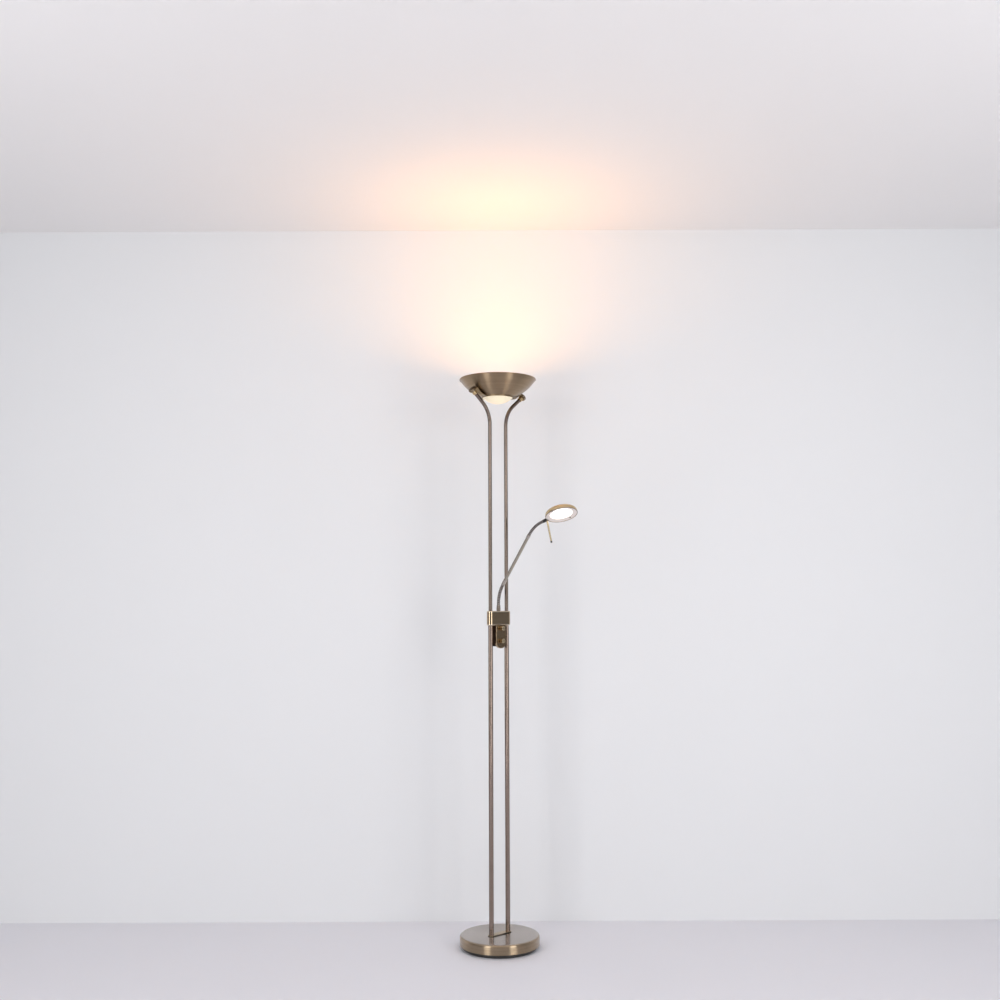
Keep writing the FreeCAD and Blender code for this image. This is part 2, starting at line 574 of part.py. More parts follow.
def head(p, d, hb2):
    c = V(HEAD_C[0], -HEAD_C[1], HEAD_C[2])
    u = arm_dir(HEAD_TILT)                       # outwards in the face's plane
    up = V(1, 0, 0).cross(u)
    if up.z < 0:
        up = up * -1                             # from the face towards the dome's top
    w_ = math.radians(HEAD_ROLL)
    up = V(1, 0, 0) * -math.sin(w_) + up * math.cos(w_)
    put = lambda s: on(s, c, up, u)

    rim, H, w = 4.0, HEAD_H, 1.3
    outer = [(HEAD_R, rim), (48.0, 10.97), (42.0, 16.24), (31.0, 20.29), (16.0, 22.65), (0.0, H)]
    inner = [(0.0, H - w), (15.8, 21.36), (30.4, 19.1), (41.1, 15.25), (46.8, 10.38), (HEAD_R - w, rim)]

    def curve(pts, t0, t1):
        s = Part.BSplineCurve()
        s.interpolate([V(a, 0, b) for a, b in pts], InitialTangent=V(*t0), FinalTangent=V(*t1))
        return s.toShape()
    shell = spin([
        line((HEAD_R, -0.6), (HEAD_R, rim)),
        curve(outer, (0, 0, 1), (-1, 0, 0)),
        line((0, H), (0, H - w)),
        curve(inner, (1, 0, 0), (0, 0, -1)),
        line((HEAD_R - w, rim), (HEAD_R - w, -0.6)),
        line((HEAD_R - w, -0.6), (HEAD_R, -0.6)),
    ])
    # tongue of the elbow: through a slot in the shell's wall, held between the ring and the foot of the heat spreader
    ax = p + d * (ELBOW_END - 6.0) - c
    side = up.cross(u)
    psi = math.degrees(math.atan2(ax.dot(side), ax.dot(u)))
    far = math.hypot(ax.dot(side), ax.dot(u))
    turn = lambda s: s.copy().rotated(V(0, 0, 0), V(0, 0, 1), psi)
    tongue_ = turn(box(43.7, far, -3.5, 3.5, 2.75, 5.1))
    shell = shell.cut(turn(box(46.0, 53.0, -3.53, 3.53, 2.72, 5.13)))
    print("elbow at", round(far, 2), "from the head's axis, angle", round(psi, 1), "height over the face",
          round(ax.dot(up), 2))
    scr = [(42.0 * math.cos(math.radians(q)), 42.0 * math.sin(math.radians(q))) for q in (98.0, 275.0)]
    keep("head_shell", put(shell))
    ro = HEAD_R - w - 0.1
    ring = spin_poly([(LENS_R + 0.15, 3.4), (LENS_R + 0.8, 3.05), (ro - 0.7, 0), (ro, 0.6), (ro, 1.5), (LENS_R + 0.15, 4.8)])
    ring = ring.cut([cyl(1.35, -1, 6, x, y) for x, y in scr] + [cyl(2.6, -1, 1.7, x, y) for x, y in scr])
    keep("head_ring", put(ring))
    rl = (LENS_R ** 2 + 1.3 ** 2) / 2.6              # slightly crowned outer face
    keep("head_lens", put(spin([
        arc((0, 2.6), (20, rl + 2.6 - math.sqrt(rl ** 2 - 400.0)), (LENS_R, 3.9)),
        line((LENS_R, 3.9), (LENS_R, 5.6)),
        line((LENS_R, 5.6), (0, 5.6)), line((0, 5.6), (0, 2.6))])))
    chips = []
    for rr_, n in ((26.0, 12), (13.0, 6)):
        for i in range(n):
            q = math.radians(360.0 * i / n)
            px, py = rr_ * math.cos(q), rr_ * math.sin(q)
            chips.append(box(px - 1.6, px + 1.6, py - 1.6, py + 1.6, 6.2, 7.0))
    keep("head_led_board", put(cyl(35.0, 7.0, 8.2).fuse(chips)))
    spread = cyl(46.0, 8.2, 10.2).fuse(tube(46.0, 43.7, 5.13, 9.0)).removeSplitter()
    keep("head_heat_spreader", put(spread.cut([cyl(1.22, 3, 12, x, y) for x, y in scr])))
    ss = []
    for x, y in scr:
        s = cyl(1.2, 1.7, 10.0, x, y).fuse(cyl(2.4, 0.6, 1.7, x, y)).cut(box(x - 3, x + 3, y - 0.35, y + 0.35, 0, 1.05))
        ss.append(put(s.removeSplitter()))
    keep("head_screws", *ss)

    # black elbow: sleeve on the neck's spigot, with its far end against the head's rim
    z0 = hb2 + 10.3
    sleeve = cyl(5.2, z0, ELBOW_END)
    e = [q for q in sleeve.Edges if abs(q.CenterOfMass.z - ELBOW_END) < 0.01]
    sleeve = sleeve.makeFillet(1.6, e)
    sleeve = on(sleeve, p, d).cut(put(cyl(HEAD_R + 0.05, -0.62, 40)))
    hp = p + d * HANDLE_AT                       # where the handle's axis leaves the elbow
    q = math.radians(HANDLE_DEG)
    hd = V(0, -math.cos(q), math.sin(q))
    rod = on(cyl(HANDLE_R, 0.5, HANDLE_L - 6.0), hp, hd).cut(put(cyl(HEAD_R + 0.08, -0.65, 40)))
    cut_rod = on(cyl(HANDLE_R + 0.02, 0.5, HANDLE_L), hp, hd)
    bore = on(cyl(2.56, z0 - 1, hb2 + 20.4), p, d)
    keep("head_elbow", sleeve.fuse(put(tongue_)).cut([bore, cut_rod]).removeSplitter())
    keep("handle_rod", rod)
    tip = cyl(HANDLE_R + 0.1, HANDLE_L - 6.0, HANDLE_L)
    e = [k for k in tip.Edges if abs(k.CenterOfMass.z - HANDLE_L) < 0.01]
    keep("handle_tip", on(tip.makeFillet(1.4, e), hp, hd))


base()
poles()
bowl()
clamp()
dimmers()
head(*arm())

for name, s in PARTS.items():
    if not s.isValid():
        print("INVALID", name)
    for q in s.Solids:
        if q.Volume <= 0:
            print("NEGATIVE", name)
    s.exportStep("parts/%s.step" % name)
bb = Part.makeCompound(list(PARTS.values())).optimalBoundingBox()
print(len(PARTS), "nodes, box", [round(v, 2) for v in (bb.XMin, bb.XMax, bb.YMin, bb.YMax, bb.ZMin, bb.ZMax)])
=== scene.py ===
import math

import bpy
from mathutils import Matrix, Vector


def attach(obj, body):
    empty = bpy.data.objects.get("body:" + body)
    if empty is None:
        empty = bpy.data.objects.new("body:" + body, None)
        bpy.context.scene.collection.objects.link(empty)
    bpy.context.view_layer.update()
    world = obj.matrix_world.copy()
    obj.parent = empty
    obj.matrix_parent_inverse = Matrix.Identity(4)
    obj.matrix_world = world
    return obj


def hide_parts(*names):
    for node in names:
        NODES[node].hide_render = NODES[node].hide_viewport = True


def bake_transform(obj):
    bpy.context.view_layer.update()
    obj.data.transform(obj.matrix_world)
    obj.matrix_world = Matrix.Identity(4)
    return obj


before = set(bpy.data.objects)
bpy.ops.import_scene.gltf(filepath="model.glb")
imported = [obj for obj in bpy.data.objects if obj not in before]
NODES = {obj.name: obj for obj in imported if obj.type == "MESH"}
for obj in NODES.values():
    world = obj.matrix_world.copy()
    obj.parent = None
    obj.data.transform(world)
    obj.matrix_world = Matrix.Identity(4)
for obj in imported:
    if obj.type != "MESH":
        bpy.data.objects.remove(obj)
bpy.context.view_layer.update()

MM = 0.001


# ------------------------------------------------------------------ node helpers
def new_mat(name):
    m = bpy.data.materials.new(name)
    m.use_nodes = True
    t = m.node_tree
    t.nodes.clear()
    out = t.nodes.new("ShaderNodeOutputMaterial")
    b = t.nodes.new("ShaderNodeBsdfPrincipled")
    t.links.new(b.outputs[0], out.inputs[0])
    return m, t, b, out


def node(t, kind, **props):
    n = t.nodes.new(kind)
    for k, v in props.items():
        setattr(n, k, v)
    return n


def math_node(t, op, a, b=None, clamp=False):
    n = node(t, "ShaderNodeMath", operation=op, use_clamp=clamp)
    for i, v in enumerate((a, b)):
        if v is None:
            continue
        if isinstance(v, (int, float)):
            n.inputs[i].default_value = v
        else:
            t.links.new(v, n.inputs[i])
    return n.outputs[0]


def mix_col(t, fac, a, b, kind="MIX"):
    n = node(t, "ShaderNodeMix", data_type="RGBA", blend_type=kind)
    if isinstance(fac, (int, float)):
        n.inputs[0].default_value = fac
    else:
        t.links.new(fac, n.inputs[0])
    for i, v in ((6, a), (7, b)):
        if isinstance(v, (tuple, list)):
            n.inputs[i].default_value = (*v, 1.0)
        else:
            t.links.new(v, n.inputs[i])
    return n.outputs[2]


def remap(t, v, a, b, lo, hi):
    n = node(t, "ShaderNodeMapRange")
    n.inputs[1].default_value, n.inputs[2].default_value = a, b
    n.inputs[3].default_value, n.inputs[4].default_value = lo, hi
    t.links.new(v, n.inputs[0])
    return n.outputs[0]


def axis_coords(t, origin=(0, 0, 0), axis=(0, 0, 1)):
    """Object coordinates turned so that the part's own axis is Z through the origin."""
    tc = node(t, "ShaderNodeTexCoord")
    mp = node(t, "ShaderNodeMapping", vector_type="POINT")
    q = Vector(axis).normalized().rotation_difference(Vector((0, 0, 1)))
    o = q @ Vector(origin)
    mp.inputs[1].default_value = (-o.x, -o.y, -o.z)
    mp.inputs[2].default_value = q.to_euler()
    t.links.new(tc.outputs["Object"], mp.inputs[0])
    return mp.outputs[0]


def scaled(t, v, s):
    mp = node(t, "ShaderNodeMapping", vector_type="POINT")
    mp.inputs[3].default_value = s
    t.links.new(v, mp.inputs[0])
    return mp.outputs[0]


def noise(t, v, scale, detail=3.0, rough=0.55):
    n = node(t, "ShaderNodeTexNoise")
    n.inputs["Scale"].default_value = scale
    n.inputs["Detail"].default_value = detail
    n.inputs["Roughness"].default_value = rough
    t.links.new(v, n.inputs["Vector"])
    return n.outputs["Fac"]


def bump(t, b, height, strength, distance):
    n = node(t, "ShaderNodeBump")
    n.inputs["Strength"].default_value = strength
    n.inputs["Distance"].default_value = distance
    t.links.new(height, n.inputs["Height"])
    t.links.new(n.outputs[0], b.inputs["Normal"])


def metal(name, light, dark, rough, brush="ring", origin=(0, 0, 0), axis=(0, 0, 1), fine=2600.0,
          aniso=0.0, depth=0.5, patina=0.35, rough_var=0.08, coat=0.0, turn=0.0, painted_end_light=None, edge_highlight=None):
    """Plated or turned metal with its brush marks: "ring" runs round the axis, "long" along it, "cast" has none."""
    m, t, b, out = new_mat(name)
    v = axis_coords(t, origin, axis)
    big = noise(t, v, 14.0, 4.0)
    if brush == "ring":
        sep = node(t, "ShaderNodeSeparateXYZ")
        t.links.new(v, sep.inputs[0])
        r = math_node(t, "SQRT", math_node(t, "ADD", math_node(t, "POWER", sep.outputs[0], 2.0),
                                           math_node(t, "POWER", sep.outputs[1], 2.0)))
        c = node(t, "ShaderNodeCombineXYZ")
        t.links.new(r, c.inputs[0])
        t.links.new(sep.outputs[2], c.inputs[1])
        # marks are long but not endless round the axis
        ang = math_node(t, "MULTIPLY", math_node(t, "ARCTAN2", sep.outputs[1], sep.outputs[0]), 0.0009)
        t.links.new(ang, c.inputs[2])
        line = noise(t, c.outputs[0], fine, 2.0, 0.6)
        band = noise(t, c.outputs[0], fine * 0.13, 2.0, 0.5)
    elif brush == "long":
        s = scaled(t, v, (1.0, 1.0, 0.012))
        line = noise(t, s, fine, 2.0, 0.6)
        band = noise(t, s, fine * 0.16, 2.0, 0.5)
    else:
        line = noise(t, v, fine * 0.5, 3.0, 0.6)
        band = noise(t, v, fine * 0.04, 3.0, 0.5)
    f1 = remap(t, big, 0.3, 0.7, 0.0, patina)
    f2 = remap(t, band, 0.3, 0.7, -0.18, 0.18)
    f3 = remap(t, line, 0.25, 0.75, -0.16, 0.16)
    fac = math_node(t, "ADD", math_node(t, "ADD", f1, f2), math_node(t, "ADD", f3, 0.18), clamp=True)
    col = mix_col(t, fac, light, dark)
    # painted light at the part's end along its axis: the colour there is blended to a second pair of colours
    # (painted_end_light[2:4]), and the fifth value shifts the roughness there
    if painted_end_light:
        sp = node(t, "ShaderNodeSeparateXYZ")
        t.links.new(v, sp.inputs[0])
        painted_end_mask = remap(t, sp.outputs[2], painted_end_light[0], painted_end_light[1], 0.0, 1.0)
        col = mix_col(t, painted_end_mask, col, mix_col(t, fac, painted_end_light[2], painted_end_light[3]))
    # painted highlight: a pale colour blended in towards two heights on either side of edge_highlight[0], standing in
    # for light caught on rounded edges
    if edge_highlight:
        wc_ = node(t, "ShaderNodeTexCoord")
        ws = node(t, "ShaderNodeSeparateXYZ")
        t.links.new(wc_.outputs["Object"], ws.inputs[0])
        off = math_node(t, "ABSOLUTE", math_node(t, "SUBTRACT", ws.outputs[2], edge_highlight[0]))
        col = mix_col(t, math_node(t, "MULTIPLY", remap(t, off, edge_highlight[1], edge_highlight[2], 0.0, 1.0), 0.5), col, edge_highlight[3])
    t.links.new(col, b.inputs["Base Color"])
    b.inputs["Metallic"].default_value = 1.0
    rr = math_node(t, "ADD", remap(t, big, 0.3, 0.7, rough - rough_var / 2, rough + rough_var / 2),
                   remap(t, line, 0.3, 0.7, -rough_var, rough_var), clamp=True)
    if painted_end_light and len(painted_end_light) > 4:
        rr = math_node(t, "ADD", rr, math_node(t, "MULTIPLY", painted_end_mask, painted_end_light[4]), clamp=True)
    t.links.new(rr, b.inputs["Roughness"])
    if aniso:
        b.inputs["Anisotropic"].default_value = aniso
        b.inputs["Anisotropic Rotation"].default_value = turn
        if tuple(axis) == (0, 0, 1) and tuple(origin)[:2] == (0, 0):
            tg = node(t, "ShaderNodeTangent", direction_type="RADIAL", axis="Z")
            t.links.new(tg.outputs[0], b.inputs["Tangent"])
    if coat:
        b.inputs["Coat Weight"].default_value = coat
        b.inputs["Coat Roughness"].default_value = 0.12
    if depth:
        bump(t, b, line, depth, 0.00003)
    return m


def moulded(name, light, dark, rough, grain=2200.0, depth=0.35, spec=0.5, sheen=0.0, coat=0.0):
    m, t, b, out = new_mat(name)
    v = axis_coords(t)
    g = noise(t, v, grain, 3.0, 0.6)
    big = noise(t, v, 30.0, 3.0)
    fac = math_node(t, "ADD", remap(t, big, 0.3, 0.7, 0.0, 0.6), remap(t, g, 0.3, 0.7, -0.15, 0.25), clamp=True)
    t.links.new(mix_col(t, fac, light, dark), b.inputs["Base Color"])
    t.links.new(remap(t, g, 0.3, 0.7, rough - 0.06, rough + 0.06), b.inputs["Roughness"])
    b.inputs["Specular IOR Level"].default_value = spec
    if sheen:
        b.inputs["Sheen Weight"].default_value = sheen
    if coat:
        b.inputs["Coat Weight"].default_value = coat
    bump(t, b, g, depth, 0.00004)
    return m


def lit(name, light, dark, emit, strength, rough=0.35, centre=(0, 0, 0), reach=0.05, edge=0.7, grain=900.0, low=None):
    """Opal glass or acrylic lit from behind: brightest in the middle, with a slight unevenness."""
    m, t, b, out = new_mat(name)
    tc = node(t, "ShaderNodeTexCoord")
    d = node(t, "ShaderNodeVectorMath", operation="DISTANCE")
    t.links.new(tc.outputs["Object"], d.inputs[0])
    d.inputs[1].default_value = centre
    cloud = noise(t, tc.outputs["Object"], 40.0, 3.0)
    fade = remap(t, d.outputs["Value"], reach * 0.45, reach, 1.0, edge)
    k = math_node(t, "MULTIPLY", fade, remap(t, cloud, 0.2, 0.8, 0.94, 1.06))
    b.inputs["Base Color"].default_value = (*light, 1)
    t.links.new(mix_col(t, cloud, light, dark), b.inputs["Base Color"])
    if low:
        t.links.new(mix_col(t, remap(t, d.outputs["Value"], reach * 0.35, reach, 0.0, 1.0), low, emit), b.inputs["Emission Color"])
    else:
        t.links.new(mix_col(t, k, tuple(c * 0.2 for c in emit), emit), b.inputs["Emission Color"])
    t.links.new(math_node(t, "MULTIPLY", k, strength), b.inputs["Emission Strength"])
    g = noise(t, tc.outputs["Object"], grain, 2.0)
    t.links.new(remap(t, g, 0.3, 0.7, rough - 0.05, rough + 0.05), b.inputs["Roughness"])
    bump(t, b, g, 0.15, 0.00005)
    return m


# ------------------------------------------------------------------ mesh helpers
def finish_mesh(name, verts, faces, mats, face_mat=None, sharp=35.0):
    me = bpy.data.meshes.new(name)
    me.from_pydata([tuple(v) for v in verts], [], faces)
    me.validate()
    me.update()
    for m in mats:
        me.materials.append(m)
    if face_mat:
        for p, i in zip(me.polygons, face_mat):
            p.material_index = i
    for p in me.polygons:
        p.use_smooth = True
    me.set_sharp_from_angle(angle=math.radians(sharp))
    o = bpy.data.objects.new(name, me)
    bpy.context.scene.collection.objects.link(o)
    return o


def basis(axis, xdir=(1, 0, 0)):
    z = Vector(axis).normalized()
    x = Vector(xdir)
    if abs(z.dot(x)) > 0.99:
        x = Vector((0, 1, 0))
    x = (x - z * x.dot(z)).normalized()
    return x, z.cross(x), z


def rounded(pts, radius, n=4, closed=False):
    """Polyline in (r, h) with its corners rounded. radius is one number or one for each point."""
    out = []
    c = len(pts)
    for i, p in enumerate(pts):
        rad = radius[i] if isinstance(radius, (list, tuple)) else radius
        if (not closed and i in (0, c - 1)) or rad <= 0 or p[0] <= 1e-9:
            out.append(p)
            continue
        a, b = Vector(pts[i - 1]), Vector(pts[(i + 1) % c])
        q = Vector(p)
        u, w = (a - q), (b - q)
        lu, lw = u.length, w.length
        u.normalize(); w.normalize()
        ang = math.acos(max(-1, min(1, u.dot(w))))
        if ang > math.radians(172):
            out.append(p)
            continue
        cut = min(rad / math.tan(ang / 2), 0.45 * lu, 0.45 * lw)
        rr = cut * math.tan(ang / 2)
        cen = q + (u + w).normalized() * (rr / math.sin(ang / 2))
        s, e = q + u * cut - cen, q + w * cut - cen
        tot = s.angle(e)
        for k in range(n + 1):
            f = k / n
            v = (s * math.sin((1 - f) * tot) + e * math.sin(f * tot)) / math.sin(tot) if tot > 1e-6 else s
            out.append(tuple(cen + v))
    return out


def lathe_data(pts, seg, origin, axis, closed=False, xdir=(1, 0, 0), wave=None):
    """Verts and faces of a turned shape. pts are (r, h) in metres; a point with r = 0 is on the axis."""
    x, y, z = basis(axis, xdir)
    o = Vector(origin)
    verts, rings = [], []
    for j, (r, h) in enumerate(pts):
        if r < 1e-9:
            verts.append(o + z * h)
            rings.append([len(verts) - 1] * seg)
        else:
            ring = []
            for i in range(seg):
                a = 2 * math.pi * i / seg
                rr = r + (wave(j, a, r, h) if wave else 0.0)
                verts.append(o + x * (rr * math.cos(a)) + y * (rr * math.sin(a)) + z * h)
                ring.append(len(verts) - 1)
            rings.append(ring)
    faces, src = [], []
    n = len(rings)
    for j in range(n if closed else n - 1):
        a, b = rings[j], rings[(j + 1) % n]
        for i in range(seg):
            k = (i + 1) % seg
            f = [a[i], a[k], b[k], b[i]]
            f = [v for q, v in enumerate(f) if v not in f[:q]]
            if len(f) > 2:
                faces.append(f)
                src.append(j)
    # outward normals: the volume has to be positive
    vol = 0.0
    for f in faces:
        for q in range(1, len(f) - 1):
            vol += verts[f[0]].dot(verts[f[q]].cross(verts[f[q + 1]]))
    if vol < 0:
        faces = [f[::-1] for f in faces]
    return verts, faces, src


def lathe(name, pts, mats, seg=96, origin=(0, 0, 0), axis=(0, 0, 1), closed=False, pick=None, sharp=35.0, wave=None,
          xdir=(1, 0, 0)):
    v, f, src = lathe_data(pts, seg, origin, axis, closed, xdir, wave)
    if not isinstance(mats, (list, tuple)):
        mats = [mats]
    fm = [pick(pts[j], pts[(j + 1) % len(pts)]) for j in src] if pick else None
    return finish_mesh(name, v, f, mats, fm, sharp)


def join(name, parts, mats, sharp=35.0):
    """parts: list of (verts, faces, material index or one index for each face)."""
    V, F, M = [], [], []
    for v, f, i in parts:
        k = len(V)
        V += list(v)
        F += [[q + k for q in g] for g in f]
        M += list(i) if isinstance(i, (list, tuple)) else [i] * len(f)
    return finish_mesh(name, V, F, mats, M, sharp)


def place(piece, body, slot, *replaced):
    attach(piece, body)
    if replaced:
        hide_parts(*replaced)
    return piece


# ------------------------------------------------------------------ finishes
# base cover: its top face is painted greyer and paler, a painted reflection of the pale wall; the top is also glossier
bronze_base = metal("bronze_base", (0.385, 0.295, 0.195), (0.255, 0.185, 0.115), 0.30, "ring", fine=2400, aniso=1.0, depth=0.10,
                    patina=0.2, coat=0.5, rough_var=0.03, turn=0.25, painted_end_light=(0.0395, 0.0415, (0.43, 0.375, 0.33), (0.31, 0.265, 0.23), -0.08))
bronze_bowl = metal("bronze_bowl", (0.385, 0.285, 0.185), (0.25, 0.175, 0.11), 0.34, "ring", fine=2600, aniso=1.0, depth=0.08,
                    patina=0.25, rough_var=0.03, turn=0.25)
pole_mats = {}
for side, sx in (("left", -34.5), ("right", 34.5)):
    for part, k in (("lower", 0.90), ("upper", 0.66)):
        pole_mats[part + side] = metal("bronze_pole_" + part + "_" + side, (0.31 * k, 0.24 * k, 0.20 * k),
                                       (0.21 * k, 0.157 * k, 0.128 * k), 0.15, "long", origin=(sx * MM, 0, 0), fine=1900,
                                       depth=0.15, patina=0.2, coat=0.25)
# clamp collar: pale bands painted along its top and bottom edges, a painted highlight of the rounded edges
bronze_clamp = metal("bronze_clamp", (0.46, 0.35, 0.23), (0.31, 0.215, 0.12), 0.11, "long", fine=1500, depth=0.08,
                     axis=(1, 0, 0), patina=0.35, rough_var=0.03, coat=0.8, edge_highlight=(1.02425, 0.0165, 0.0205, (0.88, 0.78, 0.62)))
bronze_dark = metal("bronze_dark", (0.42, 0.31, 0.195), (0.27, 0.19, 0.11), 0.15, "long", fine=1500, depth=0.12,
                    axis=(1, 0, 0), patina=0.35, rough_var=0.05, coat=0.5)
carrier = metal("bronze_carrier", (0.34, 0.25, 0.14), (0.19, 0.13, 0.07), 0.3, "ring", fine=2400, depth=0.3)
brass_turned = metal("brass_turned", (0.66, 0.50, 0.27), (0.42, 0.30, 0.15), 0.24, "cast", fine=2600, depth=0.25)
brass_foot = metal("brass_foot", (0.50, 0.40, 0.27), (0.32, 0.24, 0.15), 0.28, "long", axis=(1, 0, 0), fine=1700, depth=0.3)
# knob front faces painted pale brass: a painted highlight on the knobs' front faces
KNOB_FACE_HIGHLIGHT = (-0.0240, -0.0244, (0.80, 0.68, 0.48), (0.62, 0.50, 0.32), 0.02)
knob_mat = metal("knob_brass", (0.42, 0.31, 0.17), (0.26, 0.18, 0.09), 0.22, "ring", origin=(0, 0, 0.992), axis=(0, 1, 0),
                 fine=2600, depth=0.3, patina=0.2, painted_end_light=KNOB_FACE_HIGHLIGHT)
knob_mat_low = metal("knob_brass_low", (0.42, 0.31, 0.17), (0.26, 0.18, 0.09), 0.22, "ring", origin=(0, 0, 0.952),
                     axis=(0, 1, 0), fine=2600, depth=0.3, patina=0.2, painted_end_light=KNOB_FACE_HIGHLIGHT)
neck_mat = metal("neck_steel", (0.44, 0.40, 0.375), (0.26, 0.23, 0.21), 0.26, "cast", fine=2400, depth=0.2, patina=0.4)
# gooseneck grooves painted near-black: painted shade in the crevices between the ribs
neck_groove_shade = metal("neck_groove_shade", (0.060, 0.052, 0.046), (0.025, 0.022, 0.020), 0.45, "cast", fine=2400, depth=0.2)
neck_base = metal("neck_base", (0.24, 0.20, 0.165), (0.12, 0.10, 0.08), 0.30, "cast", fine=2400, depth=0.2)
rod_brass = metal("rod_brass", (0.66, 0.55, 0.36), (0.40, 0.32, 0.19), 0.24, "cast", fine=2600, depth=0.2)
zinc = metal("zinc_steel", (0.70, 0.71, 0.73), (0.50, 0.51, 0.54), 0.3, "cast", fine=1800, depth=0.3)
nut_bronze = metal("nut_bronze", (0.40, 0.33, 0.24), (0.24, 0.19, 0.13), 0.26, "cast", fine=2200, depth=0.3)
dark_disc = metal("disc_flange", (0.26, 0.20, 0.13), (0.13, 0.095, 0.055), 0.30, "cast", fine=2200, depth=0.3)
iron = moulded("cast_weight", (0.10, 0.10, 0.10), (0.05, 0.05, 0.05), 0.6, grain=700, depth=0.8)
black = moulded("black_plastic", (0.030, 0.027, 0.025), (0.016, 0.014, 0.013), 0.42)
brown = moulded("brown_plastic", (0.030, 0.011, 0.004), (0.016, 0.006, 0.002), 0.55, spec=0.08)
rubber = moulded("rubber_black", (0.035, 0.035, 0.035), (0.020, 0.020, 0.020), 0.65, grain=1500, spec=0.3)
felt = moulded("felt", (0.06, 0.06, 0.06), (0.03, 0.03, 0.03), 0.95, grain=1800, depth=1.0, spec=0.1, sheen=0.6)
white_ring = moulded("ring_white", (0.90, 0.81, 0.76), (0.82, 0.73, 0.67), 0.34, grain=1400, depth=0.15, coat=0.3)
board_w = moulded("board_white", (0.85, 0.86, 0.84), (0.74, 0.76, 0.73), 0.4, grain=600)
board_g = moulded("board_green", (0.05, 0.24, 0.11), (0.03, 0.15, 0.07), 0.38, grain=500)
casing = moulded("driver_white", (0.82, 0.82, 0.80), (0.70, 0.70, 0.68), 0.45)
alu = metal("aluminium_plain", (0.80, 0.81, 0.82), (0.66, 0.67, 0.69), 0.32, "long", axis=(1, 0, 0), fine=1400, depth=0.3)
pot_metal = metal("pot_metal", (0.60, 0.61, 0.62), (0.45, 0.46, 0.47), 0.35, "cast", fine=1400)
opal_dome = lit("opal_glass", (0.80, 0.73, 0.58), (0.76, 0.68, 0.52), (1.0, 0.86, 0.58), 0.42, rough=0.22,
                centre=(0, 0, 1.7188), reach=0.056, edge=0.8, low=(1.0, 0.80, 0.52))
opal_up = lit("opal_plastic", (0.95, 0.93, 0.88), (0.92, 0.89, 0.83), (1.0, 0.80, 0.50), 2.2, rough=0.4,
              centre=(0, 0, 1.7665), reach=0.07, edge=0.8)

# reading head: its face's centre and outward normal
HC = Vector((19.6, -269.4, 1340.6)) * MM
_t, _w = math.radians(21.7), math.radians(-7.2)
HU = Vector((0, -math.cos(_t), math.sin(_t)))
_up = Vector((0, math.sin(_t), math.cos(_t)))
HUP = Vector((-math.sin(_w), 0, 0)) + _up * math.cos(_w)
head_bronze = metal("head_bronze", (0.72, 0.55, 0.32), (0.46, 0.33, 0.17), 0.20, "ring", origin=HC, axis=HUP, fine=2600,
                    depth=0.25, patina=0.25)
lip_dark = metal("head_lip", (0.20, 0.15, 0.10), (0.11, 0.08, 0.05), 0.35, "ring", origin=HC, axis=HUP, fine=2600, depth=0.2)
# head screws painted near-black instead of zinc: a painted dark reflection and painted shade in their slots
screw_painted_shade = metal("screw_painted_shade", (0.16, 0.14, 0.12), (0.08, 0.07, 0.06), 0.4, "cast", fine=2200, depth=0.2)
_a = math.radians(51.2)
D_ARM = Vector((0, -math.cos(_a), math.sin(_a)))
tube_mat = metal("arm_tube", (0.46, 0.425, 0.355), (0.31, 0.28, 0.225), 0.20, "long", origin=Vector((0, -22.07, 1131.66)) * MM,
                 axis=D_ARM, fine=1900, depth=0.2, patina=0.25)
ferrule_mat = metal("ferrule", (0.52, 0.48, 0.44), (0.34, 0.305, 0.27), 0.26, "ring", origin=Vector((0, -22.07, 1131.66)) * MM,
                    axis=D_ARM, fine=2600, depth=0.25)
opal_lens = lit("opal_lens", (0.95, 0.94, 0.92), (0.93, 0.91, 0.88), (1.0, 0.97, 0.92), 2.2, rough=0.3, centre=HC, reach=0.05,
                edge=0.45)

FINISH = {
    "base_cover": bronze_base, "base_weight": iron, "base_pan": black, "felt_pad": felt, "cable_grommet": rubber,
    "foot_gasket": rubber, "foot_plate": brass_foot, "foot_spigots": zinc, "foot_nuts": zinc, "led_driver": casing,
    "pole_lower_left": pole_mats["lowerleft"], "pole_lower_right": pole_mats["lowerright"],
    "pole_upper_left": pole_mats["upperleft"], "pole_upper_right": pole_mats["upperright"],
    "pole_couplers": zinc, "end_collars": brass_turned, "end_studs": zinc, "disc_nuts": brass_turned,
    "shade_carrier": carrier, "bowl": bronze_bowl, "glass_dome": opal_dome, "glass_ring": carrier,
    "plate_standoffs": zinc, "plate_screws": zinc, "led_plate": alu, "led_board_up": board_w, "led_board_down": board_w,
    "opal_diffuser": opal_up, "clamp_collar": bronze_clamp, "clamp_grub_screws": zinc, "dimmer_front": bronze_dark,
    "dimmer_back": brown, "housing_screws": zinc, "dimmer_board": board_g, "potentiometers": pot_metal,
    "knob_upper": knob_mat, "knob_lower": knob_mat_low, "pot_shaft_upper": zinc, "pot_shaft_lower": zinc,
    "arm_base_ferrule": neck_base, "arm_base_nut": zinc, "arm_ferrule_lower": ferrule_mat,
    "arm_tube": tube_mat, "arm_ferrule_upper": ferrule_mat,
    "gooseneck_a1": neck_mat, "gooseneck_a2": neck_mat, "gooseneck_a3": neck_mat,
    "gooseneck_b1": neck_mat, "gooseneck_b2": neck_mat, "gooseneck_b3": neck_mat, "gooseneck_b_end": neck_mat,
    "head_elbow": black, "handle_rod": rod_brass, "handle_tip": black,
    "head_shell": head_bronze, "head_ring": white_ring, "head_lens": opal_lens, "head_led_board": board_w,
    "head_heat_spreader": alu, "head_screws": screw_painted_shade,
}
for name, o in NODES.items():
    m = FINISH[name]
    if not o.material_slots:
        o.data.materials.append(m)
    for s in o.material_slots:
        s.material = m


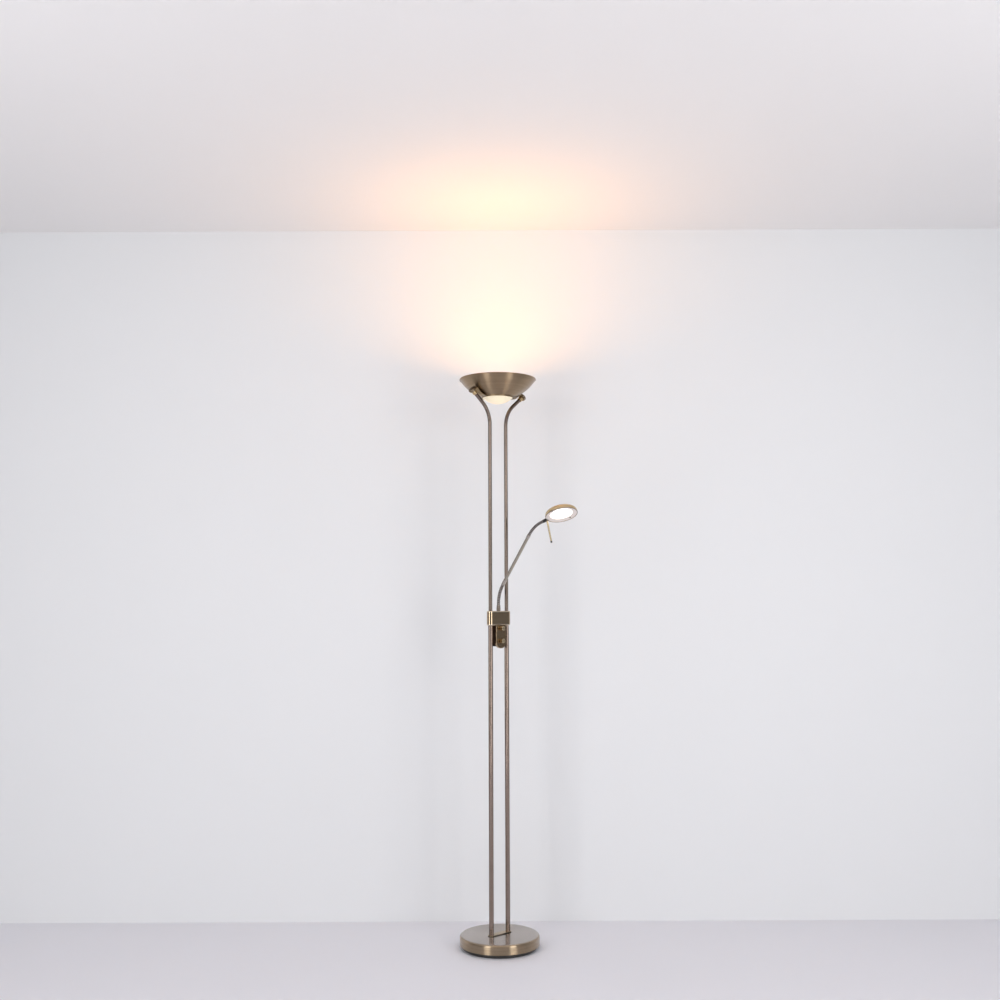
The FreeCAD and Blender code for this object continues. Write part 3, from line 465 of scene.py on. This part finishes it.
# ------------------------------------------------------------------ flexible necks
class Neck:
    """Centre line in the plane x = 0: straight, one arc, straight. s runs along it, from the arc's start."""

    def __init__(self, start, heading, radius, turn):
        self.p, self.h, self.R, self.turn = start, math.radians(heading), radius, math.radians(turn)
        self.arc = radius * self.turn

    def at(self, s):
        h0 = self.h
        if s <= 0:
            return (self.p[0] + s * math.cos(h0), self.p[1] + s * math.sin(h0)), h0
        q = min(s, self.arc) / self.R
        # turning towards the horizontal: the centre lies to the right of the heading
        cx, cz = self.p[0] + self.R * math.sin(h0), self.p[1] - self.R * math.cos(h0)
        h = h0 - q
        x, z = cx - self.R * math.sin(h), cz + self.R * math.cos(h)
        if s > self.arc:
            x, z = x + (s - self.arc) * math.cos(h), z + (s - self.arc) * math.sin(h)
        return (x, z), h

    def point(self, s):
        (r, z), h = self.at(s)
        return Vector((0, -r, z)) * MM


def rib_radius(u, R, d):
    k = 2 * (u % 1.0) - 1
    return R - d * (1 - math.sqrt(max(0.0, 1 - k * k)))


def ribbed(neck, s0, s1, pitch, R, d, seg=36, per=12):
    """Closed tube with its wound ribs, from s0 to s1 along the neck; the ribs are counted from the arc's start."""
    n = max(1, round((s1 - s0) / pitch * per))
    verts, rings, fm = [], [], []
    for j in range(n + 1):
        s = s0 + (s1 - s0) * j / n
        if j < n:
            u = (s + (s1 - s0) * 0.5 / n) / pitch
            # faces in the groove between ribs take material 1, the painted groove shade
            fm += [1 if abs(2 * (u % 1.0) - 1) > 0.5 else 0] * seg
        (r, z), h = neck.at(s)
        c = Vector((0, -r, z))
        d1 = Vector((0, -math.cos(h), math.sin(h)))
        e1 = Vector((1, 0, 0))
        e2 = d1.cross(e1)
        rad = rib_radius(s / pitch + 1e-6, R, d)
        if j in (0, n):
            rad = R - d
        ring = []
        for i in range(seg):
            a = 2 * math.pi * i / seg
            verts.append((c + e1 * (rad * math.cos(a)) + e2 * (rad * math.sin(a))) * MM)
            ring.append(len(verts) - 1)
        rings.append(ring)
    faces = []
    for a, b in zip(rings, rings[1:]):
        for i in range(seg):
            k = (i + 1) % seg
            faces.append([a[i], a[k], b[k], b[i]])
    faces.append(rings[0][::-1])
    faces.append(rings[-1][:])
    return verts, faces, fm + [1, 1]


def chain_looks(tag, neck, pitch, R, d, before, after, replaced):
    step = neck.arc / 4
    for i in range(4):
        s0 = i * step - (before if i == 0 else 0.0)
        s1 = (i + 1) * step + (after if i == 3 else 0.0)
        v, f, fm = ribbed(neck, s0, s1, pitch, R, d)
        o = finish_mesh("neck_%s_%d" % (tag, i + 1), v, f, [neck_mat, neck_groove_shade], fm, sharp=60)
        neck.point(i * step + 0.2)
        neck.point((i + 1) * step - 0.2)
        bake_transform(o)
        if replaced[i]:
            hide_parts(*replaced[i])


lower = Neck((0.0, 1069.0), 90.0, 100.0, 38.8)
upper = Neck((145.0, 1284.57), 51.2, 108.0, 35.5)
pitch_a, pitch_b = lower.arc / 4 / 3, upper.arc / 4 / 3
chain_looks("a", lower, pitch_a, 5.25, 1.15,
            6.6, 3.3, [["gooseneck_a1"], ["gooseneck_a2"], ["gooseneck_a3"], []])
chain_looks("b", upper, pitch_b, 4.75, 1.05,
            3.3, 0.0, [["gooseneck_b1"], ["gooseneck_b2"], ["gooseneck_b3"], []])

# ferrules that the necks end in
m = lambda pts: [(a * MM, b * MM) for a, b in pts]
base_f = rounded([(0, 1034.6), (4.0, 1034.6), (4.0, 1047.8), (6.4, 1047.8), (6.4, 1050.0), (6.15, 1050.25), (6.15, 1050.9),
                  (6.4, 1051.15), (6.4, 1057.9), (5.9, 1058.6), (5.9, 1065.2), (5.3, 1065.2), (5.3, 1062.2), (0, 1062.2)],
                 [0, 0.2, 0, 0.3, 0.1, 0.05, 0.05, 0.1, 0.4, 0.2, 0.4, 0, 0, 0])
place(lathe("arm_base_turned", m(base_f), neck_base, 64), "arm_base", "bronze_dark", "arm_base_ferrule")

d_arm = Vector((0, -math.cos(math.radians(51.2)), math.sin(math.radians(51.2))))
low_end = lower.point(lower.arc)
lo_f = rounded([(0, 4.0), (5.3, 4.0), (5.3, 0), (6.0, 0), (6.0, 2.2), (5.8, 2.4), (5.8, 2.9), (6.0, 3.1), (6.0, 20.0), (5.04, 20.0),
                (5.04, 12.0), (0, 12.0)], [0, 0, 0, 0.35, 0.1, 0.05, 0.05, 0.1, 0.6, 0, 0, 0])
place(lathe("arm_ferrule_low", m(lo_f), ferrule_mat, 64, origin=low_end, axis=d_arm), "arm", "bronze_satin", "arm_ferrule_lower")
up_start = upper.point(0.0)
hi_f = rounded([(0, -3.6), (4.82, -3.6), (4.82, 0), (5.8, 0), (5.8, -2.0), (5.62, -2.2), (5.62, -2.6), (5.8, -2.8), (5.8, -12.0),
                (5.04, -12.0), (5.04, -4.0), (0, -4.0)], [0, 0, 0, 0.5, 0.1, 0.05, 0.05, 0.1, 0.5, 0, 0, 0])
place(lathe("arm_ferrule_high", m(hi_f), ferrule_mat, 64, origin=up_start, axis=d_arm), "arm", "bronze_satin", "arm_ferrule_upper")

# last straight of the upper neck, its end collar and the spigot inside the elbow
tail_v, tail_f, tail_m = ribbed(upper, upper.arc, upper.arc + 8.0, pitch_b, 4.75, 1.05)
d_end = Vector((0, -math.cos(math.radians(15.7)), math.sin(math.radians(15.7))))
end_p = upper.point(upper.arc)
col = rounded([(0, 8.0), (5.2, 8.0), (5.2, 10.0), (2.5, 10.0), (2.5, 20.0), (0, 20.0)], [0, 0.35, 0.35, 0, 0.3, 0])
cv, cf, _ = lathe_data(m(col), 48, end_p, d_end)
tail = join("neck_b_tail", [(tail_v, tail_f, tail_m), (cv, cf, 0)], [neck_mat, neck_groove_shade], sharp=50)
place(tail, "neck_b_end", "neck_metal", "gooseneck_b_end")

# disc nuts of the shade: golden body, darker flange
half_bend = math.radians(50.0)
nut_pts = rounded([(0, 56.2), (4.04, 56.2), (4.04, 51.0), (11.4, 51.0), (12.0, 51.6), (12.0, 55.2), (12.9, 55.4), (12.9, 57.2),
                   (12.3, 57.9), (9.0, 58.1), (8.6, 57.9), (8.2, 58.1), (0, 58.2)],
                  [0, 0, 0.2, 0.2, 0.3, 0.1, 0.15, 0.3, 0.3, 0.05, 0.05, 0.05, 0], n=3)
nuts, pick = [], []
for sx in (-1, 1):
    e_ = Vector((sx * (34.5 + 91.0 * (1 - math.cos(half_bend))), 0, 1648.5 + 91.0 * math.sin(half_bend))) * MM
    d_ = Vector((sx * math.sin(half_bend), 0, math.cos(half_bend)))
    pts = m(nut_pts)
    nv, nf, src = lathe_data(pts, 72, e_, d_)
    nuts.append((nv, nf, [1 if (pts[j][1] + pts[j + 1][1]) / 2 > 0.0553 and pts[j][0] > 0.006 else 0 for j in src]))
place(join("disc_nuts_turned", nuts, [nut_bronze, dark_disc], sharp=40), "stand", "brass_turned", "disc_nuts")


def smooth_curve(pts, n=6):
    """Cubic through the points, leaving the first one upwards and reaching the last one level."""
    out = []
    c = len(pts)
    tan = []
    for i in range(c):
        if i == 0:
            k = math.hypot(pts[1][0] - pts[0][0], pts[1][1] - pts[0][1])
            tan.append((0.0, k))
        elif i == c - 1:
            k = math.hypot(pts[i][0] - pts[i - 1][0], pts[i][1] - pts[i - 1][1])
            tan.append((-k, 0.0))
        else:
            tan.append(((pts[i + 1][0] - pts[i - 1][0]) / 2, (pts[i + 1][1] - pts[i - 1][1]) / 2))
    for i in range(c - 1):
        for k in range(n):
            f = k / n
            h = (2 * f ** 3 - 3 * f ** 2 + 1, f ** 3 - 2 * f ** 2 + f, -2 * f ** 3 + 3 * f ** 2, f ** 3 - f ** 2)
            out.append(tuple(h[0] * pts[i][q] + h[1] * tan[i][q] + h[2] * pts[i + 1][q] + h[3] * tan[i + 1][q] for q in (0, 1)))
    return out + [pts[-1]]


# spun shell of the reading head, with its rolled lip
sh_out = smooth_curve([(50.0, 4.0), (48.0, 10.97), (42.0, 16.24), (31.0, 20.29), (16.0, 22.65), (0.0, 23.4)])
sh_in = smooth_curve([(48.7, 4.0), (46.8, 10.38), (41.1, 15.25), (30.4, 19.1), (15.8, 21.36), (0.0, 22.1)])
lip = [(48.7, -0.3), (48.95, -0.55), (49.35, -0.6), (49.75, -0.55), (50.0, -0.3), (50.0, 0.75), (49.88, 0.85), (50.0, 0.95)]
shell_pts = m(sh_in[::-1] + lip + sh_out)
place(lathe("head_shell_spun", shell_pts, [head_bronze, lip_dark], 144, origin=HC, axis=HUP, xdir=HU,
            pick=lambda a, b: 1 if (a[1] + b[1]) / 2 < 0.00085 else 0), "head", "head_bronze", "head_shell")


# ------------------------------------------------------------------ stage
def one_sided(name, col, var, rough):
    """Plain surface that is only there when seen from its front, so that views from behind aren't blocked."""
    m_, t, b, out = new_mat(name)
    tc = node(t, "ShaderNodeTexCoord")
    n = noise(t, tc.outputs["Object"], 1.3, 2.0)
    t.links.new(mix_col(t, n, col, tuple(c * var for c in col)), b.inputs["Base Color"])
    b.inputs["Roughness"].default_value = rough
    b.inputs["Specular IOR Level"].default_value = 0.15
    g = node(t, "ShaderNodeNewGeometry")
    tr = node(t, "ShaderNodeBsdfTransparent")
    mx = node(t, "ShaderNodeMixShader")
    t.links.new(g.outputs["Backfacing"], mx.inputs[0])
    t.links.new(b.outputs[0], mx.inputs[1])
    t.links.new(tr.outputs[0], mx.inputs[2])
    t.links.new(mx.outputs[0], out.inputs[0])
    return m_


AZ = math.radians(42.0)
FWD = Vector((math.sin(AZ), math.cos(AZ), 0))
RIGHT = Vector((math.cos(AZ), -math.sin(AZ), 0))
WALL = 0.300
CEIL = 2.40


def sheet_obj(name, corners, mat, normal):
    c = [Vector(v) for v in corners]
    if (c[1] - c[0]).cross(c[2] - c[1]).dot(Vector(normal)) < 0:
        c = c[::-1]
    o = finish_mesh(name, c, [[0, 1, 2, 3]], [mat])
    return o


floor_mat, t_, b_, _ = new_mat("floor")
tc_ = node(t_, "ShaderNodeTexCoord")
n_ = noise(t_, tc_.outputs["Object"], 1.1, 3.0)
t_.links.new(mix_col(t_, n_, (0.835, 0.83, 0.875), (0.81, 0.805, 0.85)), b_.inputs["Base Color"])
b_.inputs["Roughness"].default_value = 0.55
b_.inputs["Specular IOR Level"].default_value = 0.2
wall_mat = one_sided("wall", (0.842, 0.85, 0.864), 0.985, 0.9)
ceil_mat = one_sided("ceiling", (0.925, 0.91, 0.91), 0.985, 0.9)

S = 7.0
wc = FWD * WALL
sheet_obj("floor", [FWD * S + RIGHT * S, FWD * S - RIGHT * S, -FWD * S - RIGHT * S, -FWD * S + RIGHT * S], floor_mat, (0, 0, 1))
sheet_obj("wall", [wc + RIGHT * S, wc - RIGHT * S, wc - RIGHT * S + Vector((0, 0, CEIL)), wc + RIGHT * S + Vector((0, 0, CEIL))],
          wall_mat, -FWD)
up_ = Vector((0, 0, CEIL))
sheet_obj("ceiling", [wc + RIGHT * S + up_, wc - RIGHT * S + up_, wc - RIGHT * S - FWD * S + up_, wc + RIGHT * S - FWD * S + up_],
          ceil_mat, (0, 0, -1))


# ------------------------------------------------------------------ light
def area(name, loc, target, sx, sy, watts, col, spread=180.0):
    d = bpy.data.lights.new(name, "AREA")
    d.shape = "RECTANGLE"
    d.size, d.size_y = sx, sy
    d.energy = watts
    d.color = col
    d.spread = math.radians(spread)
    o = bpy.data.objects.new(name, d)
    bpy.context.scene.collection.objects.link(o)
    o.location = loc
    o.rotation_mode = "QUATERNION"
    o.rotation_quaternion = (Vector(target) - Vector(loc)).to_track_quat("-Z", "Y")
    o.visible_camera = False
    return o


def around(deg, dist, z):
    a = math.radians(deg)
    v = -FWD * math.cos(a) + RIGHT * math.sin(a)
    return v * dist + Vector((0, 0, z))


area("softbox_left", around(-35.0, 3.4, 1.15), (0, 0, 1.0), 0.95, 2.2, 30.5, (1.0, 1.0, 1.0))
area("softbox_right", around(38.7, 3.4, 1.15), (0, 0, 1.0), 1.02, 2.2, 32.5, (1.0, 1.0, 1.0))
area("overhead", around(0.0, 2.0, 2.38), (0, 0, 0.6), 4.0, 2.0, 14.0, (1.0, 1.0, 1.0))
up_light = bpy.data.lights.new("uplight", "AREA")
up_light.shape = "DISK"
up_light.size = 0.11
up_light.energy = 1.8
up_light.spread = math.radians(150)
up_light.color = (1.0, 0.46, 0.11)
uo = bpy.data.objects.new("uplight", up_light)
bpy.context.scene.collection.objects.link(uo)
uo.location = (0, 0, 1.768)
uo.rotation_euler = (math.pi, 0, 0)
uo.visible_camera = False

world = bpy.data.worlds.new("room")
bpy.context.scene.world = world
world.use_nodes = True
wt = world.node_tree
bg = next(n for n in wt.nodes if n.type == "BACKGROUND")
lp = node(wt, "ShaderNodeLightPath")
mixw = node(wt, "ShaderNodeMix", data_type="RGBA")
wt.links.new(lp.outputs["Is Camera Ray"], mixw.inputs[0])
mixw.inputs[6].default_value = (0.225, 0.225, 0.235, 1)
mixw.inputs[7].default_value = (0.80, 0.80, 0.83, 1)
wt.links.new(mixw.outputs[2], bg.inputs[0])
bg.inputs[1].default_value = 1.0
bpy.context.scene.view_settings.view_transform = "Standard"

# ------------------------------------------------------------------ camera
pitch, roll = math.radians(5.255), math.radians(-0.23)
fwd = FWD * math.cos(pitch) + Vector((0, 0, math.sin(pitch)))
up = -FWD * math.sin(pitch) + Vector((0, 0, math.cos(pitch)))
cam_x = RIGHT * math.cos(roll) + up * math.sin(roll)
cam_y = -RIGHT * math.sin(roll) + up * math.cos(roll)
cd = bpy.data.cameras.new("camera")
cd.sensor_width = 36.0
cd.lens = 41.364
cam = bpy.data.objects.new("camera", cd)
bpy.context.scene.collection.objects.link(cam)
R = Matrix((cam_x, cam_y, -fwd)).transposed()
cam.matrix_world = Matrix.Translation(-FWD * 3.703 + RIGHT * 0.0062 + Vector((0, 0, 1.064))) @ R.to_4x4()
bpy.context.scene.camera = cam
